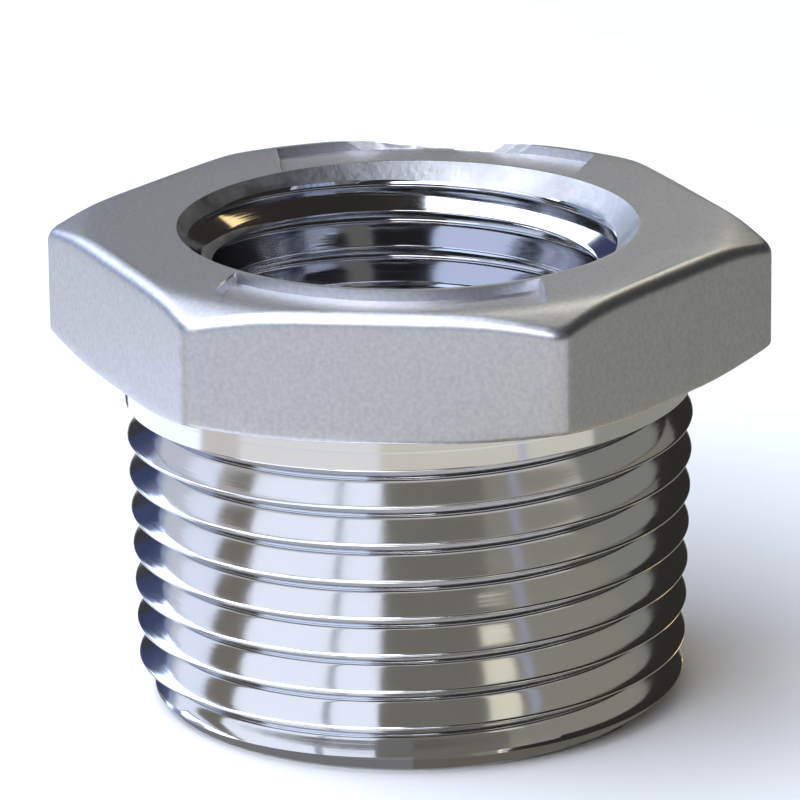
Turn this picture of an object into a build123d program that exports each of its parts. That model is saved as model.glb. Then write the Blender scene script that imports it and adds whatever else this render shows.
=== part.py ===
from build123d import *
from math import atan, ceil, cos, degrees, radians, sqrt, tan
import os

# Reducing hex bushing in cast and machined stainless steel: a hexagon head over a 3/4 in taper
# pipe thread, bored through from the head end. It is one solid.
# The bore has the size drilled for a 1/2 in taper tap, and the tapped groove isn't cut in it.
# Z runs up the bore, the origin is the centre of the end face that it stands on, and two
# corners of the hexagon lie on the X axis. All sizes are in millimetres and degrees.

# Taper pipe thread: a 60 degree V, square to the axis and cut along a slow cone.
# The standard's flats on crest and root are 0.07 mm wide, and both are sharp here.
threads_per_inch = 14
pitch = 25.4 / threads_per_inch
taper = 1 / 16
flank_angle = 30
thread_end_diameter = 26.03
thread_start_angle = -43
runout_turns = 0.4
turning_allowance = 0.01  # the shank is turned this much over the crests, and the grooves meet
cutter_clearance = 0.1  # how far the cut V stands out of the metal

# Shank, from the end face up to the plain neck under the head
shank_length = 16.9
plain_neck_length = 1.9
end_face_diameter = 23.6
end_chamfer_height = 1.2

# Bore and the countersunk mouth that leads a pipe in
bore_diameter = 18.26
mouth_diameter = 21.8
mouth_angle = 90

# Hexagon head
across_flats = 30.0
head_height = 6.2
corner_rounding = 1.1
top_chamfer_width = 1.85
top_chamfer_angle = 20
under_chamfer_width = 2.02
under_chamfer_angle = 17
edge_rounding = 0.5

# Sunk bands for raised markings, one along the front flat and one along the back flat
band_depth = 0.5
band_inner_diameter = 22.4
front_band_outer_diameter = 28.8
back_band_outer_diameter = 29.9
band_end_spacing = 10.6
band_end_angle = 11

total_length = shank_length + head_height
sharp_corner_radius = across_flats / sqrt(3)
round_corner_radius = sharp_corner_radius - corner_rounding * (2 / sqrt(3) - 1)
top_face_radius = round_corner_radius - top_chamfer_width
top_chamfer_drop = (sharp_corner_radius - top_face_radius) * tan(radians(top_chamfer_angle))
under_face_radius = round_corner_radius - under_chamfer_width
under_chamfer_rise = (sharp_corner_radius - under_face_radius) * tan(radians(under_chamfer_angle))
thread_length = shank_length - plain_neck_length
thread_depth = pitch / 2 / tan(radians(flank_angle))
cutter_reach = thread_depth + cutter_clearance
half_cutter_width = cutter_reach * tan(radians(flank_angle))


def groove_stretch(root_radius, height, turns, cone_angle):
    """A stretch of V groove, up to one turn long, as a solid between three helices.

    The root of the V starts on the X axis at this radius and height, and the V opens outwards.
    """
    corners = [
        (root_radius, height),
        (root_radius + cutter_reach, height - half_cutter_width),
        (root_radius + cutter_reach, height + half_cutter_width),
    ]
    rails = [
        Helix(
            pitch=pitch / cos(radians(cone_angle)),
            height=pitch * turns,
            radius=corner_radius,
            center=(0, 0, corner_height),
            cone_angle=cone_angle,
        )
        for corner_radius, corner_height in corners
    ]
    walls = [Face.make_surface_from_curves(rails[i - 1], rails[i]) for i in range(len(rails))]
    first_end = Face(Wire.make_polygon([rail @ 0 for rail in rails]))
    last_end = Face(Wire.make_polygon([rail @ 1 for rail in rails]))
    return Solid(Shell(walls + [first_end, last_end]))


def thread_groove(end_root_radius):
    """The whole groove of the right-hand thread, which starts one pitch outside the end face.

    It runs up the taper in equal stretches. Then the cutter leaves the metal over the run-out,
    and the groove gets shallower until it ends.
    """
    turns = 1 + thread_length / pitch
    stretch_count = ceil(turns)
    stretch_turns = turns / stretch_count
    taper_angle = degrees(atan(taper / 2))
    leaving_angle = degrees(atan(cutter_reach / (runout_turns * pitch)))
    stretches = []
    for i in range(stretch_count):
        height = i * stretch_turns * pitch - pitch
        stretch = groove_stretch(end_root_radius + height * taper / 2, height, stretch_turns, taper_angle)
        stretches.append(stretch.rotate(Axis.Z, 360 * i * stretch_turns))
    last_root_radius = end_root_radius + thread_length * taper / 2
    runout = groove_stretch(last_root_radius, thread_length, runout_turns, leaving_angle)
    stretches.append(runout.rotate(Axis.Z, 360 * turns))
    return stretches


# Head: a hexagonal prism with rounded corners, its corners turned off above and below
with BuildPart() as head:
    with BuildSketch(Plane.XY.offset(shank_length)) as hexagon:
        RegularPolygon(radius=across_flats / 2, side_count=6, major_radius=False)
        fillet(hexagon.vertices(), radius=corner_rounding)
    extrude(amount=head_height)
    with BuildSketch(Plane.XZ) as turned_outline:
        with BuildLine():
            Polyline(
                (0, shank_length),
                (under_face_radius, shank_length),
                (sharp_corner_radius, shank_length + under_chamfer_rise),
                (sharp_corner_radius, total_length - top_chamfer_drop),
                (top_face_radius, total_length),
                (0, total_length),
                close=True,
            )
        make_face()
    revolve(axis=Axis.Z, mode=Mode.INTERSECT)
    top_rim = head.faces().sort_by(Axis.Z)[-1].edges()
    fillet(top_rim, radius=edge_rounding)

# Shank: a turned cone that the thread is cut into, chamfered at the end face
end_crest_radius = thread_end_diameter / 2
turned_end_radius = end_crest_radius + turning_allowance
with BuildPart() as shank:
    with BuildSketch(Plane.XZ) as shank_outline:
        with BuildLine():
            Polyline(
                (0, 0),
                (end_face_diameter / 2, 0),
                (turned_end_radius + end_chamfer_height * taper / 2, end_chamfer_height),
                (turned_end_radius + shank_length * taper / 2, shank_length),
                (0, shank_length),
                close=True,
            )
        make_face()
    revolve(axis=Axis.Z)
    groove = thread_groove(end_crest_radius - thread_depth)
    add(groove, rotation=(0, 0, thread_start_angle), mode=Mode.SUBTRACT)

# Bushing: head and shank in one, bored and countersunk from the head end
with BuildPart() as bushing:
    add(head.part)
    add(shank.part)
    with Locations((0, 0, total_length)):
        CounterSinkHole(
            radius=bore_diameter / 2,
            counter_sink_radius=mouth_diameter / 2,
            counter_sink_angle=mouth_angle,
        )

    # The two sunk bands
    for turn, outer_diameter in ((0, front_band_outer_diameter), (180, back_band_outer_diameter)):
        with BuildSketch(Plane.XY.offset(total_length).rotated((0, 0, turn))):
            Circle(outer_diameter / 2)
            Circle(band_inner_diameter / 2, mode=Mode.SUBTRACT)
            with BuildLine():
                spread = sharp_corner_radius * tan(radians(band_end_angle))
                Polyline(
                    (-band_end_spacing / 2, 0),
                    (band_end_spacing / 2, 0),
                    (band_end_spacing / 2 + spread, -sharp_corner_radius),
                    (-band_end_spacing / 2 - spread, -sharp_corner_radius),
                    close=True,
                )
            make_face(mode=Mode.INTERSECT)
        extrude(amount=-band_depth, mode=Mode.SUBTRACT)

os.makedirs("parts", exist_ok=True)
bushing.part.label = "bushing"
export_step(bushing.part, "parts/bushing.step")
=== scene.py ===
from math import atan, cos, pi, radians, sin, tan

import bpy
import numpy as np
from mathutils import Matrix, Vector


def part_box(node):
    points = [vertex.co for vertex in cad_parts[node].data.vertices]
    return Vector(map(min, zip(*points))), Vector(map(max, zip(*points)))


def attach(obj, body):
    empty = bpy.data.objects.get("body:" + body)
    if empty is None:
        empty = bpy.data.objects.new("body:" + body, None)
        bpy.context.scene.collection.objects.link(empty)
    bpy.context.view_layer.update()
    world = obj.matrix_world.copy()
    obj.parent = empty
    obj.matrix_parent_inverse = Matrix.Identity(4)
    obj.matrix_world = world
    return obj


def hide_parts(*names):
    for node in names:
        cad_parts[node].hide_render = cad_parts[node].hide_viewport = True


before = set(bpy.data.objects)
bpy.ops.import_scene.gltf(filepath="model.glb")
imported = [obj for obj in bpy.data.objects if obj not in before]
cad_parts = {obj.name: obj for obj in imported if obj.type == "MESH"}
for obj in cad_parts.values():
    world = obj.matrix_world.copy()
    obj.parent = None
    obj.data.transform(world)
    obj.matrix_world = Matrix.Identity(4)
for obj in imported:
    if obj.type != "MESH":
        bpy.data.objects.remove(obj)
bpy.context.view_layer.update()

# ---------------------------------------------------------------------------
# Bushing: one investment casting in stainless steel. The hexagon head is left as cast and
# blasted. The shank, its end and the mouth are turned, the outside is threaded 3/4 in taper, and
# the drilled bore is tapped 1/2 in taper from the head end.
# ---------------------------------------------------------------------------
mm = 0.001
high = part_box("bushing")[1]

# Head: the hexagon, its round chamfers above and below, and its edges
top_height = high[2]
flat_distance = high[1]
corner_rounding = 1.1 * mm
head_height = 6.2 * mm
under_height = top_height - head_height
top_face_radius = 15.3 * mm
top_slope = tan(radians(20))
top_crease = 0.2 * mm
under_face_radius = 15.13 * mm
under_slope = tan(radians(17))
under_crease = 0.1 * mm
top_edge = 0.7 * mm
under_edge = 0.25 * mm

# Both threads: 14 grooves to the inch at 60 degrees, on a taper of 1 in 16 across
pitch = 25.4 * mm / 14
half_taper = 1 / 32
flank_slope = 1 / tan(radians(30))
half_flat = 0.035 * mm
root_rounding = 0.1 * mm
tapped_root_rounding = 0.2 * mm
crest_rounding = 0.03 * mm

# Outside thread, from the small end up. Its groove starts at an angle in degrees from +X, and its
# floor climbs out over a run-out in turns
crest_radius = 13.015 * mm
thread_depth = 0.8 * pitch
male_start = -43
male_groove_height = pitch * (-male_start / 360)
male_length = 15.0 * mm
male_runout = 0.4
end_radius = 11.8 * mm
end_edge = 0.04 * mm

# Drilled bore, its countersunk mouth and the tapped thread, from the mouth down. The height of one
# crest, at an angle in degrees from +X, sets how the thread is turned in the hole
bore_radius = 9.13 * mm
hole_edge = 0.12 * mm
mouth_radius = 10.9 * mm
mouth_edge = 0.03 * mm
female_floor = 10.61 * mm
female_length = 14.5 * mm
female_runout = 0.6
female_crest_height = 19.25 * mm
female_crest_angle = 96.27
female_groove_height = female_crest_height - pitch / 2 - pitch * female_crest_angle / 360
tapped_bottom = 6.0 * mm

# Sunk bands in the top face, in front of the mouth and behind it
band_depth = 0.5 * mm
band_inner = 11.2 * mm
band_outer_front = 14.4 * mm
band_outer_back = 14.95 * mm
band_half_length = 5.3 * mm
band_end_angle = radians(11)
wall_draft = 0.07 * mm


def smaller(a, b, blend):
    """The smaller of two surfaces, with the crease between them rounded over this distance:
    the mean less half the root of the squared difference plus the squared blend."""
    return (a + b - np.sqrt((a - b) ** 2 + blend**2)) / 2


def larger(a, b, blend):
    """The larger of two surfaces, rounded as in smaller."""
    return -smaller(-a, -b, blend)


def hexagon_radius(angle):
    """Distance from the axis to the side of the hexagon, whose corners are arcs: along the flat
    it is the flat's distance over the cosine from its middle, and near a corner it is the far
    crossing of the ray with the corner's circle."""
    off_corner = np.abs((angle + pi / 6) % (pi / 3) - pi / 6)
    centre = (flat_distance - corner_rounding) / cos(pi / 6)
    touch = atan(corner_rounding * 0.5 / (centre + corner_rounding * cos(pi / 6)))
    inside = np.minimum(off_corner, touch)
    arc = centre * np.cos(inside) + np.sqrt(corner_rounding**2 - (centre * np.sin(inside)) ** 2)
    return np.where(off_corner < touch, arc, flat_distance / np.cos(pi / 6 - off_corner))


def band_end(radius):
    """Angle from the middle of a flat at which a band ends, at this radius. The end is a straight
    line that leans out by the band's end angle, so the angle is that lean plus an arcsine."""
    return band_end_angle + np.arcsin(band_half_length * cos(band_end_angle) / radius)


def grid_angles():
    """Columns round the axis, in radians: even steps, and closer ones at the hexagon's corners and
    where the bands end. The first and last column are the same line."""
    even_step = 2.5
    closest = 0.12
    near_corner = [-1.9, -1.1, -0.5, 0.5, 1.1, 1.9]
    near_end = [-0.5, -0.15, 0.15, 0.5]
    even = np.arange(0, 360, even_step)
    corners = np.add.outer(np.arange(0, 360, 60), near_corner).ravel()
    end = np.degrees(band_end(band_outer_back))
    ends = np.add.outer([90 - end, 90 + end, 270 - end, 270 + end], near_end).ravel()
    angles = np.unique(np.round(np.concatenate([even, corners, ends]) % 360, 3))
    keep = np.append(True, np.diff(angles) > closest)
    return np.radians(np.append(angles[keep], 360))


def leaned(angles, radius):
    """Columns turned a little, so that those at a band's end follow its straight line inwards:
    the shift is the end's angle here less that at the rim, and it fades to nothing at the middle
    of the flat and at the X axis."""
    middle = np.where(angles < pi, pi / 2, 3 * pi / 2)
    off = angles - middle
    rim = band_end(band_outer_back)
    shift = band_end(np.clip(radius, band_inner, band_outer_back)) - rim
    fade = np.interp(np.abs(off), [0, rim, pi / 2], [0, 1, 0])
    return angles + np.sign(off) * shift * fade


def thread_rows(angles, centre, bottom, top, half_width, rows):
    """Heights of the rows of a thread's grid, as a row by column array. A groove's centre climbs
    one pitch a turn. Four fifths of the rows are on its two flanks, closest at the floor and the
    crests, and the rest on the crest between two grooves. What passes the bottom or the top is
    laid on it."""
    turns = np.arange(np.floor((bottom - centre) / pitch) - 1, np.ceil((top - centre) / pitch) + 1)
    steps = np.linspace(-1, 1, rows, endpoint=False)
    middles = centre + pitch * (turns[:, None, None] + angles[None, None, :] / (2 * pi))
    width = half_width(middles)
    across = np.interp(np.abs(steps), [0, 0.3, 0.7, 0.8, 1], [0, 0.15, 0.94, 1, 2])[None, :, None]
    reach = np.where(across < 1, across * width, width + (across - 1) * (pitch / 2 - width))
    heights = middles + np.sign(steps)[None, :, None] * reach
    return np.clip(heights.reshape(-1, len(angles)), bottom, top)


def groove_offset(angle, height, centre):
    """How far a point is from the centre of the nearest groove along the axis, and how many
    pitches it is above the groove's first turn."""
    along = (height - centre - pitch * angle / (2 * pi)) / pitch
    return np.abs(along - np.round(along)) * pitch, along


def male_radius(angle, height):
    """Outside of the shank: the crest cone, cut by a V groove whose floor lies the thread's depth
    below it, which rises to the surface over the run-out, and by the chamfer at the end."""
    offset, along = groove_offset(angle, height, male_groove_height)
    last = male_length / pitch
    turns = np.round(along) + angle / (2 * pi) - male_start / 360
    past = np.clip((turns - last) / male_runout, 0, 1)
    crest = crest_radius + half_taper * height
    floor = crest - thread_depth * (1 - past)
    groove = larger(floor, floor + (offset - half_flat) * flank_slope, root_rounding)
    threaded = smaller(crest, groove, crest_rounding)
    return smaller(threaded, end_radius + height, end_edge)


def male_half_width(middle):
    """Half the width of the outside groove, which almost meets the next one at every height."""
    return pitch / 2 - half_flat


def female_radius(angle, height):
    """Wall of the bore: the drilled hole, cut by a V groove that gets shallower along the taper
    and then over the run-out, and by the countersunk mouth."""
    offset, along = groove_offset(angle, height, female_groove_height)
    middle = female_groove_height + pitch * (np.round(along) + angle / (2 * pi))
    depth_in = top_height - middle
    past = np.clip((depth_in - female_length) / (female_runout * pitch), 0, 1)
    floor = female_floor - half_taper * depth_in
    floor = floor + (bore_radius - root_rounding - floor) * past
    groove = smaller(floor, floor - (offset - half_flat) * flank_slope, tapped_root_rounding)
    threaded = larger(bore_radius, groove, crest_rounding)
    return larger(threaded, mouth_radius - (top_height - height), mouth_edge)


def female_half_width(middle):
    """Half the width of the tapped groove where it breaks into the drilled hole."""
    narrowest = 0.2 * mm
    widest = 0.48 * pitch
    floor = female_floor - half_taper * (top_height - middle)
    return np.clip((floor - bore_radius) / flank_slope + half_flat, narrowest, widest)


def band_outer(angle):
    """Radius of the bands' outer walls. Beside the mouth, where there is no band and the angle's
    sine is small, it changes over between the front's and the back's."""
    small = 0.6
    return np.interp(np.sin(angle), [-small, small], [band_outer_front, band_outer_back])


def band_cut(angle, radius):
    """How deep the two sunk bands are here, from 0 to 1: full inside their inner and outer walls
    and end lines, with each wall leaning over its draft."""
    outer = band_outer(angle)
    across = radius * np.abs(np.cos(angle))
    along = radius * np.abs(np.sin(angle))
    end = (band_half_length + along * tan(band_end_angle) - across) * cos(band_end_angle)
    inside = np.minimum(np.minimum(outer - radius, radius - band_inner), end)
    return np.clip(inside / wall_draft + 0.5, 0, 1)


def head_grid(angles):
    """The head's skin as rows of radius, angle and height, from the neck out under the head, up the
    side, over the rounded top edge and in to the mouth. The underside and top are a plane blended
    with a cone, and each edge is an arc that meets them at their slope."""
    side = hexagon_radius(angles)

    def under(radius):
        """The underside: a plane, and a cone that rises outside it."""
        cone = under_height + (radius - under_face_radius) * under_slope
        return larger(under_height, cone, under_crease)

    def over(radius):
        """The top: a plane, and a cone that falls outside it."""
        cone = top_height - (radius - top_face_radius) * top_slope
        return smaller(top_height, cone, top_crease)

    def edge(surface, size, way, count):
        """An arc from the side wall round to the surface: its end is turned by the surface's
        slope, and its centre hangs from the surface there."""
        near = side - size * 0.6
        step = 0.05 * mm
        slope = np.abs(surface(near + step) - surface(near - step)) / (2 * step)
        last = pi / 2 - np.arctan(slope)
        turn = np.linspace(0, 1, count)[:, None] * last
        centre = surface(side - size + size * np.cos(last)) - way * size * np.sin(last)
        return side - size + size * np.cos(turn), centre + way * size * np.sin(turn)

    neck = crest_radius + half_taper * under_height
    low_radius, low_height = edge(under, under_edge, way=-1, count=5)
    high_radius, high_height = edge(over, top_edge, way=1, count=9)
    under_rows = neck + (low_radius[-1] - neck) * np.linspace(0, 1, 8)[:-1, None]

    # Over the top, rows crowd at the bands' walls. A wall's rows stop short of the head's edge
    off_edge = 0.1 * mm
    off_wall = 0.15 * mm
    off_rim = 0.08 * mm
    outer_wall = np.minimum(band_outer(angles), high_radius[-1] - off_edge)
    wall_steps = np.array([1.6, 1, 0.3, -0.3, -1, -1.6])[:, None] * wall_draft / 2
    land_rows = outer_wall + (high_radius[-1] - outer_wall) * np.linspace(1, 0, 7)[1:-1, None]
    floor_rows = np.linspace(outer_wall - off_wall, band_inner + off_wall + 0 * angles, 12)
    rim_rows = np.linspace(band_inner - off_rim, mouth_radius, 4)[:, None] + 0 * angles
    top_rows = np.concatenate([land_rows, outer_wall + wall_steps, floor_rows,
                               band_inner + wall_steps + 0 * angles, rim_rows])
    side_heights = np.linspace(low_height[0], high_height[0], 14)[1:-1]
    radius = np.concatenate([under_rows, low_radius[::-1], side + 0 * side_heights, high_radius, top_rows])
    height = np.concatenate([under(under_rows), low_height[::-1], side_heights, high_height, over(top_rows)])
    height[0] = under_height
    height[-1] = top_height

    # The bands are cut down from the top, and out over the edge where they reach it
    upper_half = height > top_height - head_height / 2
    around = leaned(angles, np.where(upper_half, radius, band_outer_back))
    band_floor = top_height - band_depth * band_cut(around, radius)
    in_reach = height > top_height - band_depth - 0.3 * mm
    return radius, around, np.where(in_reach, np.minimum(height, band_floor), height)


def joined_surface(name, grids, materials):
    """One mesh from grids of radius, angle and height. Points that fall together, along shared
    rows, the first and last column and a thread's end that is laid on a plane, become one point,
    and faces that collapse are left out. Each grid says which material its rows have."""
    same_place = 1e-4 * mm
    sharp_edge = radians(32)
    points, faces, finishes = [], [], []
    count = 0
    for radius, around, height, finish in grids:
        rows, columns = radius.shape
        points.append(np.stack([radius * np.cos(around), radius * np.sin(around), height], -1).reshape(-1, 3))
        corner = count + np.arange(rows - 1)[:, None] * columns + np.arange(columns - 1)
        quads = np.stack([corner, corner + 1, corner + columns + 1, corner + columns], -1)
        halves = np.concatenate([quads[..., [0, 1, 2]], quads[..., [0, 2, 3]]], -1).reshape(-1, 3)
        faces.append(halves)
        finishes.append(np.repeat(np.broadcast_to(finish, (rows - 1, columns - 1)).ravel(), 2))
        count += rows * columns
    points = np.concatenate(points)
    faces = np.concatenate(faces)
    finishes = np.concatenate(finishes)
    _, first, same = np.unique(np.round(points / same_place).astype(np.int64), axis=0,
                               return_index=True, return_inverse=True)
    points = points[first]
    faces = same.reshape(-1)[faces]
    whole = (faces[:, 0] != faces[:, 1]) & (faces[:, 1] != faces[:, 2]) & (faces[:, 2] != faces[:, 0])
    faces = faces[whole]
    mesh = bpy.data.meshes.new(name)
    mesh.from_pydata(points.tolist(), [], faces.tolist())
    for material in materials:
        mesh.materials.append(material)
    mesh.polygons.foreach_set("material_index", finishes[whole].astype(np.int32))
    mesh.polygons.foreach_set("use_smooth", np.ones(len(faces), bool))
    mesh.set_sharp_from_angle(angle=sharp_edge)
    mesh.validate()
    mesh.update()
    piece = bpy.data.objects.new(name, mesh)
    bpy.context.scene.collection.objects.link(piece)
    return piece


def linear(hex_colour):
    """An sRGB hex colour as linear RGBA."""
    channels = [int(hex_colour[i : i + 2], 16) / 255 for i in (1, 3, 5)]
    return [c / 12.92 if c <= 0.04045 else ((c + 0.055) / 1.055) ** 2.4 for c in channels] + [1]


def add_node(tree, kind, settings=None, links=None):
    """Adds a node, sets its properties or input values by name, and links inputs to outputs."""
    node = tree.nodes.new(kind)
    for key, value in (settings or {}).items():
        if key in node.inputs:
            node.inputs[key].default_value = value
        else:
            setattr(node, key, value)
    for key, output in (links or {}).items():
        tree.links.new(node.inputs[key], output)
    return node


def plain_material(name, colour, roughness, metallic=1.0):
    """A material with its plain colour and roughness. Returns it, its tree and its shader."""
    material = bpy.data.materials.new(name)
    material.use_nodes = True
    shader = material.node_tree.nodes["Principled BSDF"]
    shader.inputs["Base Color"].default_value = linear(colour)
    shader.inputs["Metallic"].default_value = metallic
    shader.inputs["Roughness"].default_value = roughness
    return material, material.node_tree, shader


def from_axis(tree):
    """Sockets with the distance from the part's axis and the height."""
    place = add_node(tree, "ShaderNodeTexCoord").outputs["Object"]
    height = add_node(tree, "ShaderNodeSeparateXYZ", {}, {"Vector": place}).outputs["Z"]
    flat = add_node(tree, "ShaderNodeVectorMath", {"operation": "MULTIPLY"}, {0: place})
    flat.inputs[1].default_value = (1, 1, 0)
    length = add_node(tree, "ShaderNodeVectorMath", {"operation": "LENGTH"}, {0: flat.outputs[0]})
    return length.outputs["Value"], height


def tool_marks(tree, shader, radius, height, spacing, strength):
    """Fine rings left by the tool: noise read along the radius and height only, so that it does
    not change round the axis."""
    ring = add_node(tree, "ShaderNodeCombineXYZ", {}, {"X": radius, "Z": height})
    lines = add_node(tree, "ShaderNodeTexNoise", {"Scale": 1 / spacing, "Detail": 2.0},
                     {"Vector": ring.outputs[0]})
    bump = add_node(tree, "ShaderNodeBump", {"Strength": strength, "Distance": 0.01 * mm},
                    {"Height": lines.outputs["Fac"]})
    tree.links.new(shader.inputs["Normal"], bump.outputs["Normal"])


def duller_chamfer(tree, shader, radius, height, operation, limit, roughness, tones):
    """Tone and roughness that change from the thread's to the chamfer's where the radius less the
    height, which is the same all over a 45 degree chamfer, passes a limit. Small uneven patches
    of wear lie over both, and torn grain over the chamfer alone."""
    patch_size = 1.5 * mm
    grain_size = 0.3 * mm
    place = add_node(tree, "ShaderNodeTexCoord").outputs["Object"]
    slant = add_node(tree, "ShaderNodeMath", {"operation": "SUBTRACT"}, {0: radius, 1: height})
    past = add_node(tree, "ShaderNodeMath", {"operation": operation}, {0: slant.outputs[0]})
    past.inputs[1].default_value = limit
    chamfer = past.outputs[0]

    # A Mix node's sockets 6 and 7 are its two colours, and its output 2 is the mixed one
    tone = add_node(tree, "ShaderNodeMix", {"data_type": "RGBA"}, {"Factor": chamfer})
    tone.inputs[6].default_value = linear(tones[0])
    tone.inputs[7].default_value = linear(tones[1])
    tree.links.new(shader.inputs["Base Color"], tone.outputs[2])

    worn = add_node(tree, "ShaderNodeTexNoise", {"Scale": 1 / patch_size, "Detail": 4.0}, {"Vector": place})
    dullness = add_node(tree, "ShaderNodeMapRange", {"To Min": roughness[0], "To Max": roughness[1]},
                        {"Value": chamfer})
    uneven = add_node(tree, "ShaderNodeMapRange",
                      {"From Min": 0.3, "From Max": 0.7, "To Min": 0.8, "To Max": 1.25},
                      {"Value": worn.outputs["Fac"]})
    rough = add_node(tree, "ShaderNodeMath", {"operation": "MULTIPLY"},
                     {0: dullness.outputs[0], 1: uneven.outputs[0]})
    tree.links.new(shader.inputs["Roughness"], rough.outputs[0])

    grain = add_node(tree, "ShaderNodeTexNoise", {"Scale": 1 / grain_size, "Detail": 3.0}, {"Vector": place})
    depth = add_node(tree, "ShaderNodeMath", {"operation": "MULTIPLY"}, {0: chamfer})
    depth.inputs[1].default_value = 0.45
    rings = shader.inputs["Normal"].links[0].from_socket
    bump = add_node(tree, "ShaderNodeBump", {"Distance": 0.05 * mm},
                    {"Height": grain.outputs["Fac"], "Strength": depth.outputs[0], "Normal": rings})
    tree.links.new(shader.inputs["Normal"], bump.outputs["Normal"])


# Blasted stainless casting: a satin skin of fine dents a fifth of a millimetre apart, a little
# uneven in tone, over broad low waves left by the wax
dent_size = 0.22 * mm
wave_size = 2.4 * mm
cast_steel, tree, shader = plain_material("blasted_stainless_casting", "#CFCFD3", 0.4)
place = add_node(tree, "ShaderNodeTexCoord").outputs["Object"]
dents = add_node(tree, "ShaderNodeTexNoise", {"Scale": 1 / dent_size, "Detail": 3.0}, {"Vector": place})
waves = add_node(tree, "ShaderNodeTexNoise", {"Scale": 1 / wave_size, "Detail": 2.0}, {"Vector": place})
share = add_node(tree, "ShaderNodeMapRange", {"From Min": 0.3, "From Max": 0.7},
                 {"Value": dents.outputs["Fac"]})
tone = add_node(tree, "ShaderNodeMix", {"data_type": "RGBA"}, {"Factor": share.outputs[0]})
tone.inputs[6].default_value = linear("#BEBEC2")
tone.inputs[7].default_value = linear("#CECED1")
tree.links.new(shader.inputs["Base Color"], tone.outputs[2])
fine = add_node(tree, "ShaderNodeBump", {"Strength": 0.22, "Distance": 0.03 * mm},
                {"Height": dents.outputs["Fac"]})
broad = add_node(tree, "ShaderNodeBump", {"Strength": 0.3, "Distance": 0.12 * mm},
                 {"Height": waves.outputs["Fac"], "Normal": fine.outputs["Normal"]})
tree.links.new(shader.inputs["Normal"], broad.outputs["Normal"])

# Turned stainless steel, on the small end's face and in the drilled hole: satin, with rings of
# tool marks. Here and below they are drawn coarser than a real finishing cut, so that they show
turned_steel, tree, shader = plain_material("turned_stainless_steel", "#D2D2D4", 0.3)
radius, height = from_axis(tree)
tool_marks(tree, shader, radius, height, spacing=0.15 * mm, strength=0.5)

# Cut stainless thread: bright flanks that mirror what is round them, and a duller end chamfer
flank_tone = "#DDDDDF"
flank_roughness = 0.12
chamfer_tone = "#C8C8CA"
chamfer_roughness = 0.36
threaded_steel, tree, shader = plain_material("cut_stainless_thread", flank_tone, flank_roughness)
radius, height = from_axis(tree)
tool_marks(tree, shader, radius, height, spacing=0.22 * mm, strength=0.3)
duller_chamfer(tree, shader, radius, height, "GREATER_THAN", end_radius - end_edge / 2,
               (flank_roughness, chamfer_roughness), (flank_tone, chamfer_tone))

# Tapped stainless steel, in the bore: bright flanks with plainer tap marks, and a dull mouth
tapped_tone = "#D6D6D8"
tapped_roughness = 0.09
mouth_tone = "#A8A8AA"
mouth_roughness = 0.48
tapped_steel, tree, shader = plain_material("tapped_stainless_bore", tapped_tone, tapped_roughness)
radius, height = from_axis(tree)
tool_marks(tree, shader, radius, height, spacing=0.32 * mm, strength=0.7)
duller_chamfer(tree, shader, radius, height, "LESS_THAN", mouth_radius - top_height + mouth_edge,
               (tapped_roughness, mouth_roughness), (tapped_tone, mouth_tone))

# The skin, in grids of radius, angle and height, each with its material's place in this list
materials = [cast_steel, turned_steel, threaded_steel, tapped_steel]
cast, turned, threaded, tapped = range(4)
male_rows = 20
female_rows = 18

angles = grid_angles()
male_heights = thread_rows(angles, male_groove_height, 0, under_height, male_half_width, male_rows)
male_angles = np.broadcast_to(angles, male_heights.shape)
male_radii = male_radius(male_angles, male_heights)

head_radii, head_angles, head_heights = head_grid(angles)

# The bore's rows run down from the mouth, so that its faces point inwards to the hole
inner_angles = leaned(angles, mouth_radius)
female_heights = thread_rows(inner_angles, female_groove_height, tapped_bottom, top_height,
                             female_half_width, female_rows)[::-1]
female_angles = np.broadcast_to(inner_angles, female_heights.shape)
female_radii = female_radius(female_angles, female_heights)

# The plain hole below the tapped thread, its edge, and the first ring of the end's face
bore_heights = np.array([tapped_bottom, 4 * mm, 2 * mm, hole_edge, 0, 0])[:, None] + 0 * angles
bore_radii = bore_radius + np.array([0, 0, 0, 0, hole_edge, 0.4 * mm])[:, None] + 0 * angles
bore_radii[0] = female_radii[-1]
bore_angles = np.broadcast_to(inner_angles, bore_radii.shape)

face_share = np.linspace(0, 1, 5)[:, None]
face_radii = bore_radii[-1] + (male_radii[0] - bore_radii[-1]) * face_share
face_angles = inner_angles + (angles - inner_angles) * face_share

# The neck and the head share a row, and so do the head and the mouth
male_radii[-1] = head_radii[0]
head_radii[-1] = female_radii[0]
grids = [
    (male_radii, male_angles, male_heights, threaded),
    (head_radii, head_angles, head_heights, cast),
    (female_radii, female_angles, female_heights, tapped),
    (bore_radii, bore_angles, bore_heights, turned),
    (face_radii, face_angles, np.zeros_like(face_radii), turned),
]
bushing = joined_surface("bushing_body", grids, materials)
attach(bushing, "root")
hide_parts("bushing")

# ---------------------------------------------------------------------------
# Studio: a white table under a bright overcast window on the left, in a dim room. Steel shows
# little but what it mirrors, so glowing cards stand for the room: on the table round the bushing,
# far off as windows and walls, and within the bore. Only reflections see them, so what they give
# the steel is painted reflection: painted highlights from the bright cards, and painted shadow
# and shade from the dark ones beside the bushing's right, round its foot and within the bore.
# ---------------------------------------------------------------------------
# White painted board: matt, so that it shows the bushing's soft shadow and no mirror image of it
table_material, tree, shader = plain_material("white_table", "#FFFFFF", 0.9, metallic=0.0)
shader.inputs["Specular IOR Level"].default_value = 0.1
bpy.ops.mesh.primitive_plane_add(size=8)
table = bpy.context.object
table.name = "table"
table.data.materials.append(table_material)

camera_turn = radians(6.265)
card_columns = 48
card_lift = 0.1 * mm
card_lift_over = 0.2 * mm


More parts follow.
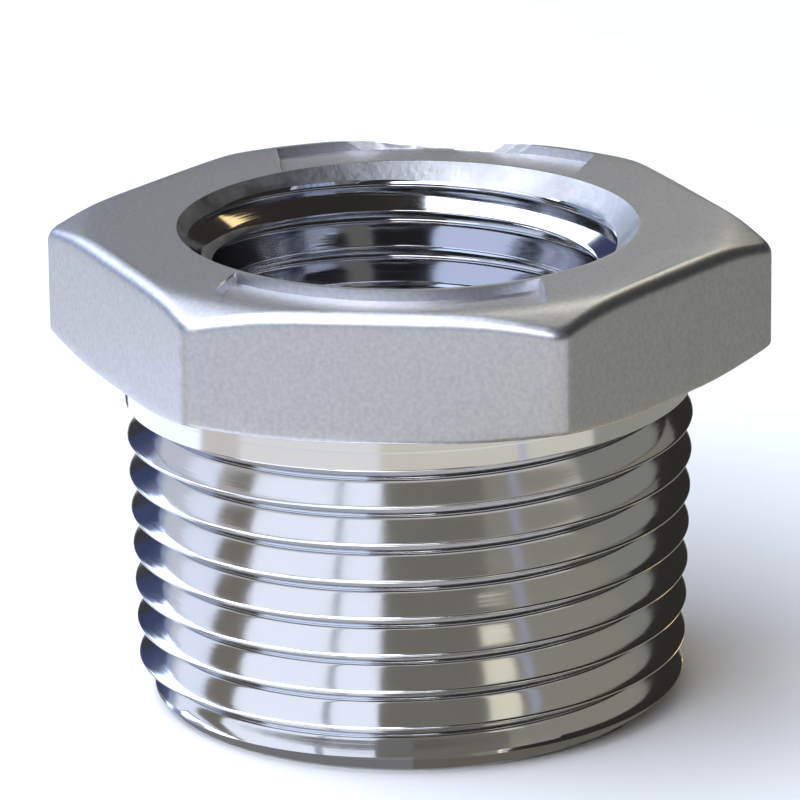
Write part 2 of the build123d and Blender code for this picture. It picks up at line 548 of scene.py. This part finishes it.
def card_material(name, colour, strength):
    """An evenly glowing card."""
    material = bpy.data.materials.new(name)
    material.use_nodes = True
    tree = material.node_tree
    glow = add_node(tree, "ShaderNodeEmission", {"Color": linear(colour), "Strength": strength})
    tree.links.new(tree.nodes["Material Output"].inputs["Surface"], glow.outputs[0])
    return material


def reflection_card(name, colour, strength, arc, edges):
    """A strip that runs round the axis from one direction to another, in degrees, and between
    two edges that are each a radius and a height. The steel mirrors it and nothing else sees
    it. The directions count from the camera's right, so the camera itself is at -90."""
    turns = np.radians(np.linspace(*arc, card_columns)) + camera_turn
    points = [np.stack([radius * np.cos(turns), radius * np.sin(turns), height + 0 * turns], -1)
              for radius, height in edges]
    first = np.arange(card_columns - 1)
    faces = np.stack([first, first + card_columns, first + card_columns + 1, first + 1], -1)
    mesh = bpy.data.meshes.new(name)
    mesh.from_pydata(np.concatenate(points).tolist(), [], faces.tolist())
    mesh.materials.append(card_material(name, colour, strength))
    card = bpy.data.objects.new(name, mesh)
    card.visible_camera = False
    card.visible_diffuse = False
    card.visible_shadow = False
    bpy.context.scene.collection.objects.link(card)


def flat_card(name, colour, strength, arc, inner, outer, height=card_lift):
    """A card that lies just over the table, between two radii."""
    reflection_card(name, colour, strength, arc, [(inner, height), (outer, height)])


def standing_card(name, colour, strength, arc, radius, bottom, top):
    """A card that stands up at one radius, between two heights."""
    reflection_card(name, colour, strength, arc, [(radius, bottom), (radius, top)])


# On the table, in rings from beside the thread out into the room
base = 14.5 * mm
near = 40 * mm
side_middle = 62 * mm
front_middle = 66 * mm
room = 900 * mm
front_left = (-154, -100.6)
left_gap = (187, 206)
left = (123, 187)
far_left = (112, 123)
front_right = (-100.6, -62)
front_and_right = (-100.6, -20)
right_side = (-62, 112)
right_back = (-20, 112)
flat_card("front_left_near", "#EAF0FC", 1.8, front_left, base, near)
flat_card("front_left_neck", "#F0F0F0", 1.05, front_left, near, front_middle)
flat_card("front_left_far", "#E4EAFA", 1.0, front_left, front_middle, room)
flat_card("front_left_seam", "#C4CAD8", 1.0, (-118, -115.5), base, near, card_lift_over)
flat_card("left_gap_near", "#8C877C", 1.0, left_gap, base, near)
flat_card("left_gap_far", "#DCDAD6", 1.0, left_gap, near, room)
flat_card("left_near", "#E2EAFC", 1.7, left, base, side_middle)
flat_card("left_far", "#E6EAF4", 1.08, left, side_middle, room)
flat_card("far_left", "#3A4360", 1.0, far_left, base, room)
# Darker cards on the table beside the bushing's right: painted shadow, so that the steel mirrors the table
# there as shaded
flat_card("right_painted_shadow_near", "#8A887E", 1.0, front_right, base, near)
flat_card("right_side_painted_shadow", "#AAA69A", 1.0, right_side, base, near)
flat_card("right_neck", "#DEDACE", 1.0, front_and_right, near, front_middle)
flat_card("right_far", "#F0F1F4", 1.1, front_and_right, front_middle, room)
flat_card("right_back", "#9E9E96", 1.0, right_back, near, room)
# Small bright cards beside the thread: painted highlights, a light patch, a bluish streak and warm glints on
# the lower turns
flat_card("right_patch", "#EAE6D0", 1.5, (-66, -55), 16 * mm, 24 * mm, card_lift_over)
flat_card("right_streak", "#D4DAEC", 0.8, (-51.5, -48), 16 * mm, side_middle, card_lift_over)
flat_card("warm_patch", "#FFD98A", 3.0, (5, 22), base, 20 * mm, card_lift_over)

# Windows and walls across the room
standing_card("back_wall", "#3C3C3E", 1.0, (78, 110), room, 0, 500 * mm)
standing_card("warm_patch_high", "#FFE4A8", 1.6, (59, 68), 880 * mm, 560 * mm, 800 * mm)
standing_card("warm_window", "#F4F0DE", 3.8, (68, 86), 880 * mm, 500 * mm, 800 * mm)
standing_card("back_left_window", "#D8E4FF", 1.3, (112, 150), 1400 * mm, 880 * mm, 2400 * mm)
standing_card("front_left_window", "#D4E2FF", 1.6, (195, 250), 1300 * mm, 230 * mm, 800 * mm)
standing_card("back_left_sill", "#D0E0FF", 3.4, (121, 148), 1370 * mm, 420 * mm, 880 * mm)
standing_card("back_left_wall", "#3A4468", 1.0, (110, 122), 1380 * mm, 0, 880 * mm)
standing_card("left_wall", "#98A8CC", 1.0, (122, 170), 1380 * mm, 0, 880 * mm)

# Within the bore, where the tapped thread mirrors its own far side more than the room: painted reflections, a
# bright card on the left and a grey one on the right, and painted shade from a dark disc on the table below
inside = 8.8 * mm
standing_card("bore_painted_highlight_left", "#B4C0DC", 2.1, (168, 243), inside, 1 * mm, 15.5 * mm)
standing_card("bore_painted_reflection_right", "#7E7E7C", 1.0, (303, 328), inside, 1 * mm, 15.5 * mm)
flat_card("bore_painted_shade", "#201E1C", 1.0, (-180, 180), 0, 8.9 * mm)

# Round the foot, under the end chamfer: painted shade, dark cards where the table meets the bushing
foot = 11.9 * mm
flat_card("foot_painted_shade_left", "#8A8A8C", 1.0, (-180, -90), foot, base)
flat_card("foot_painted_shade_right", "#76726A", 1.0, (-90, 0), foot, base)
flat_card("foot_painted_shade_back", "#76726A", 1.0, (0, 180), foot, base)


def seen_from_front(x, y, z):
    """A place given to the right of, behind and above the object as the camera sees it."""
    return (x * cos(camera_turn) - y * sin(camera_turn), x * sin(camera_turn) + y * cos(camera_turn), z)


def soft_light(name, place, aim, width, height, power, colour):
    """A soft rectangular light at a place, turned to face a point."""
    lamp = bpy.data.lights.new(name, "AREA")
    lamp.shape = "RECTANGLE"
    lamp.size = width
    lamp.size_y = height
    lamp.energy = power
    lamp.color = linear(colour)[:3]
    holder = bpy.data.objects.new(name, lamp)
    holder.location = place
    holder.rotation_euler = (Vector(aim) - Vector(place)).to_track_quat("-Z", "Y").to_euler()
    bpy.context.scene.collection.objects.link(holder)


# The window's light comes down on the table from panels over its left, and a little from in front
window = (-0.6, -0.25)
far_window = (-0.8, 0.77)
soft_light("window_panel", seen_from_front(*window, 0.8), seen_from_front(*window, 0),
           width=1.05, height=1.3, power=16, colour="#EAF1FF")
soft_light("window_far_panel", seen_from_front(*far_window, 0.8), seen_from_front(*far_window, 0),
           width=1.25, height=0.66, power=5, colour="#E8F0FF")
soft_light("front_panel", seen_from_front(-0.3, -1.2, 1.0), (0, 0, 0),
           width=1.2, height=0.5, power=12, colour="#F0F4FF")

world = bpy.data.worlds.new("room")
bpy.context.scene.world = world
world.use_nodes = True
background = world.node_tree.nodes["Background"]
background.inputs["Color"].default_value = linear("#8C8780")
background.inputs["Strength"].default_value = 0.12

# ---------------------------------------------------------------------------
# Camera: a long lens a third of a metre away, 18 degrees above the table, turned 6 degrees
# past the front flat towards +X.
# ---------------------------------------------------------------------------
elevation = radians(18)
azimuth = camera_turn
roll = radians(-0.571)
distance = 344.65 * mm
target = Vector((0, 0, 10.9 * mm))
towards = Vector((sin(azimuth) * cos(elevation), -cos(azimuth) * cos(elevation), sin(elevation)))
right = Vector((cos(azimuth), sin(azimuth), 0))
up = towards.cross(right)
rolled_right = right * cos(roll) + up * sin(roll)
rolled_up = up * cos(roll) - right * sin(roll)
lens = bpy.data.cameras.new("camera")
lens.sensor_width = 36
lens.lens = 325.7
lens.shift_x = -0.0128
lens.shift_y = 0.0865
lens.clip_end = 50
camera = bpy.data.objects.new("camera", lens)
camera.matrix_world = Matrix.Translation(target + towards * distance) @ Matrix(
    (rolled_right, rolled_up, towards)).transposed().to_4x4()
bpy.context.scene.collection.objects.link(camera)
bpy.context.scene.camera = camera

bpy.context.scene.view_settings.view_transform = "Standard"
